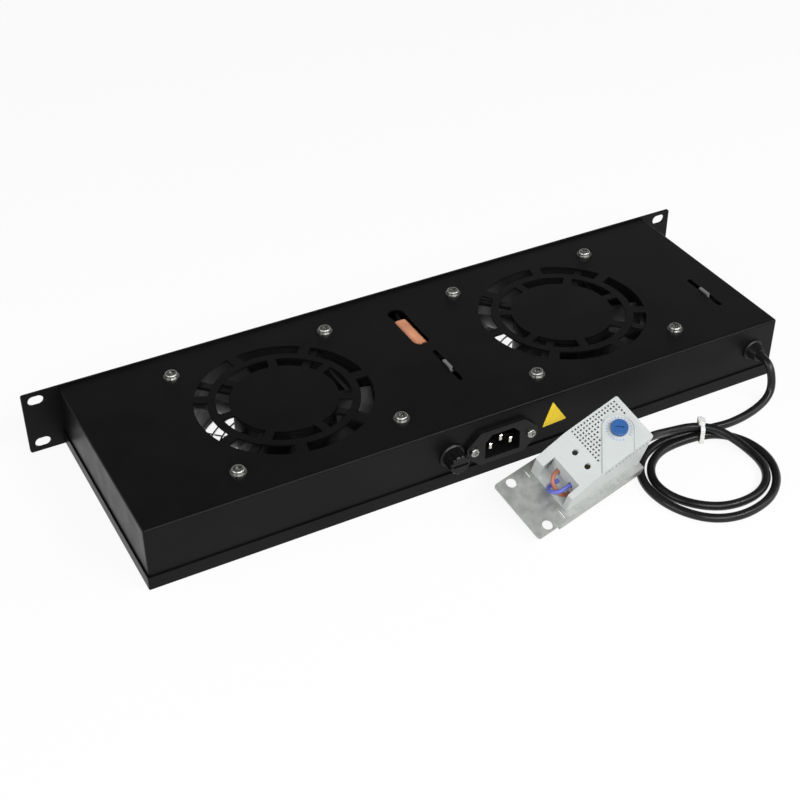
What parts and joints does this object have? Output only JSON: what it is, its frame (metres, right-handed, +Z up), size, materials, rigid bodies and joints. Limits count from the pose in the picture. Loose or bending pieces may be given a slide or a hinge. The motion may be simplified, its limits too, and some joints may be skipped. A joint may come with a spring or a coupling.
{
  "type": "rack fan tray",
  "caption": "Shallow rack-mount box with axial fans that blow up through its roof, a fused mains inlet, and a dial thermostat on a coiled lead.",
  "frame": {"origin": "centre of the four rack slots, in the rear face of the ears that seats on the rack posts", "axes": "+X along the front panel, +Y back into the rack, +Z up, the way the air leaves"},
  "size_m": [0.4826, 0.2625, 0.0584],
  "materials": {
    "black_steel": "satin black powder coat",
    "fan_black": "moulded black",
    "zinc": "zinc plated",
    "guard_chrome": "bright wire",
    "laminations": "varnished core",
    "bearing_steel": "ground",
    "inlet_black": "moulded black",
    "nickel": "nickel plated",
    "fuse_glass": "clear tube with plated ends",
    "cord_black": "soft black sheath",
    "tie_white": "natural nylon",
    "sleeve_salmon": "soft sleeve",
    "light_grey": "fine matt",
    "galvanised": "galvanised",
    "dial_blue": "satin blue",
    "brown_wire": "brown sheath",
    "blue_wire": "blue sheath",
    "green_wire": "green sheath",
    "brass_clamp": "bright"
  },
  "bodies": {
    "tray": {"front_panel": "black_steel", "top_shell": "black_steel", "bottom_lid": "black_steel", "lid_screws": "zinc", "lid_nuts": "zinc", "fan_screws": "zinc", "fan_washers": "zinc", "fan_nuts": "zinc", "guard_screws": "zinc", "inlet_housing": "inlet_black", "inlet_pins": "nickel", "inlet_screws": "zinc", "inlet_nuts": "zinc", "earth_screw": "zinc", "earth_nut": "zinc", "fuse_holder": "inlet_black", "fuse_nut": "inlet_black", "fuse_contact": "nickel", "cord_bushing": "inlet_black", "cord_lead": "cord_black", "cord_coil": "cord_black", "cord_tail": "cord_black", "cord_tie": "tie_white", "cord_inner": "cord_black", "web_ties": "tie_white", "splice_sleeve": "sleeve_salmon", "supply_lead": "cord_black", "fuse_lead": "brown_wire", "earth_lead": "green_wire", "rail_bracket": "galvanised", "thermostat_base": "light_grey", "thermostat_cover": "light_grey", "terminal_clamps": "brass_clamp", "terminal_screws": "zinc", "bimetal_strip": "brass_clamp", "wire_brown": "brown_wire", "wire_blue": "blue_wire", "fan_frame_left": "fan_black", "fan_bearings_left": "bearing_steel", "motor_stator_left": "laminations", "finger_guard_left": "guard_chrome", "fan_lead_left": "cord_black", "fan_frame_right": "fan_black", "fan_bearings_right": "bearing_steel", "motor_stator_right": "laminations", "finger_guard_right": "guard_chrome", "fan_lead_right": "cord_black"},
    "left_rotor": {"impeller_left": "fan_black", "fan_shaft_left": "bearing_steel"},
    "right_rotor": {"impeller_right": "fan_black", "fan_shaft_right": "bearing_steel"},
    "dial": {"dial_knob": "dial_blue"},
    "fuse_carrier": {"fuse_link": "fuse_glass"},
    "fuse_cap": {"fuse_cap": "inlet_black"}
  },
  "joints": [
    {"name": "left_rotor_spin", "type": "hinge", "parent": "tray", "child": "left_rotor", "pos_m": [0.1, 0.075, 0], "axis": [0, 0, 1], "continuous": true},
    {"name": "right_rotor_spin", "type": "hinge", "parent": "tray", "child": "right_rotor", "pos_m": [-0.1, 0.075, 0], "axis": [0, 0, 1], "continuous": true},
    {"name": "dial_turn", "type": "hinge", "parent": "tray", "child": "dial", "pos_m": [-0.05589, 0.20279, 0.02677], "axis": [0.1979, 0.4094, 0.8906], "range_deg": [-135, 135]},
    {"name": "fuse_draw", "type": "slide", "parent": "tray", "child": "fuse_carrier", "axis": [0, 1, 0], "range_m": [0, 0.03]},
    {"name": "fuse_cap_turn", "type": "hinge", "parent": "fuse_carrier", "child": "fuse_cap", "pos_m": [0.0252, 0.15, 0], "axis": [0, 1, 0], "range_deg": [-90, 0]}
  ]
}
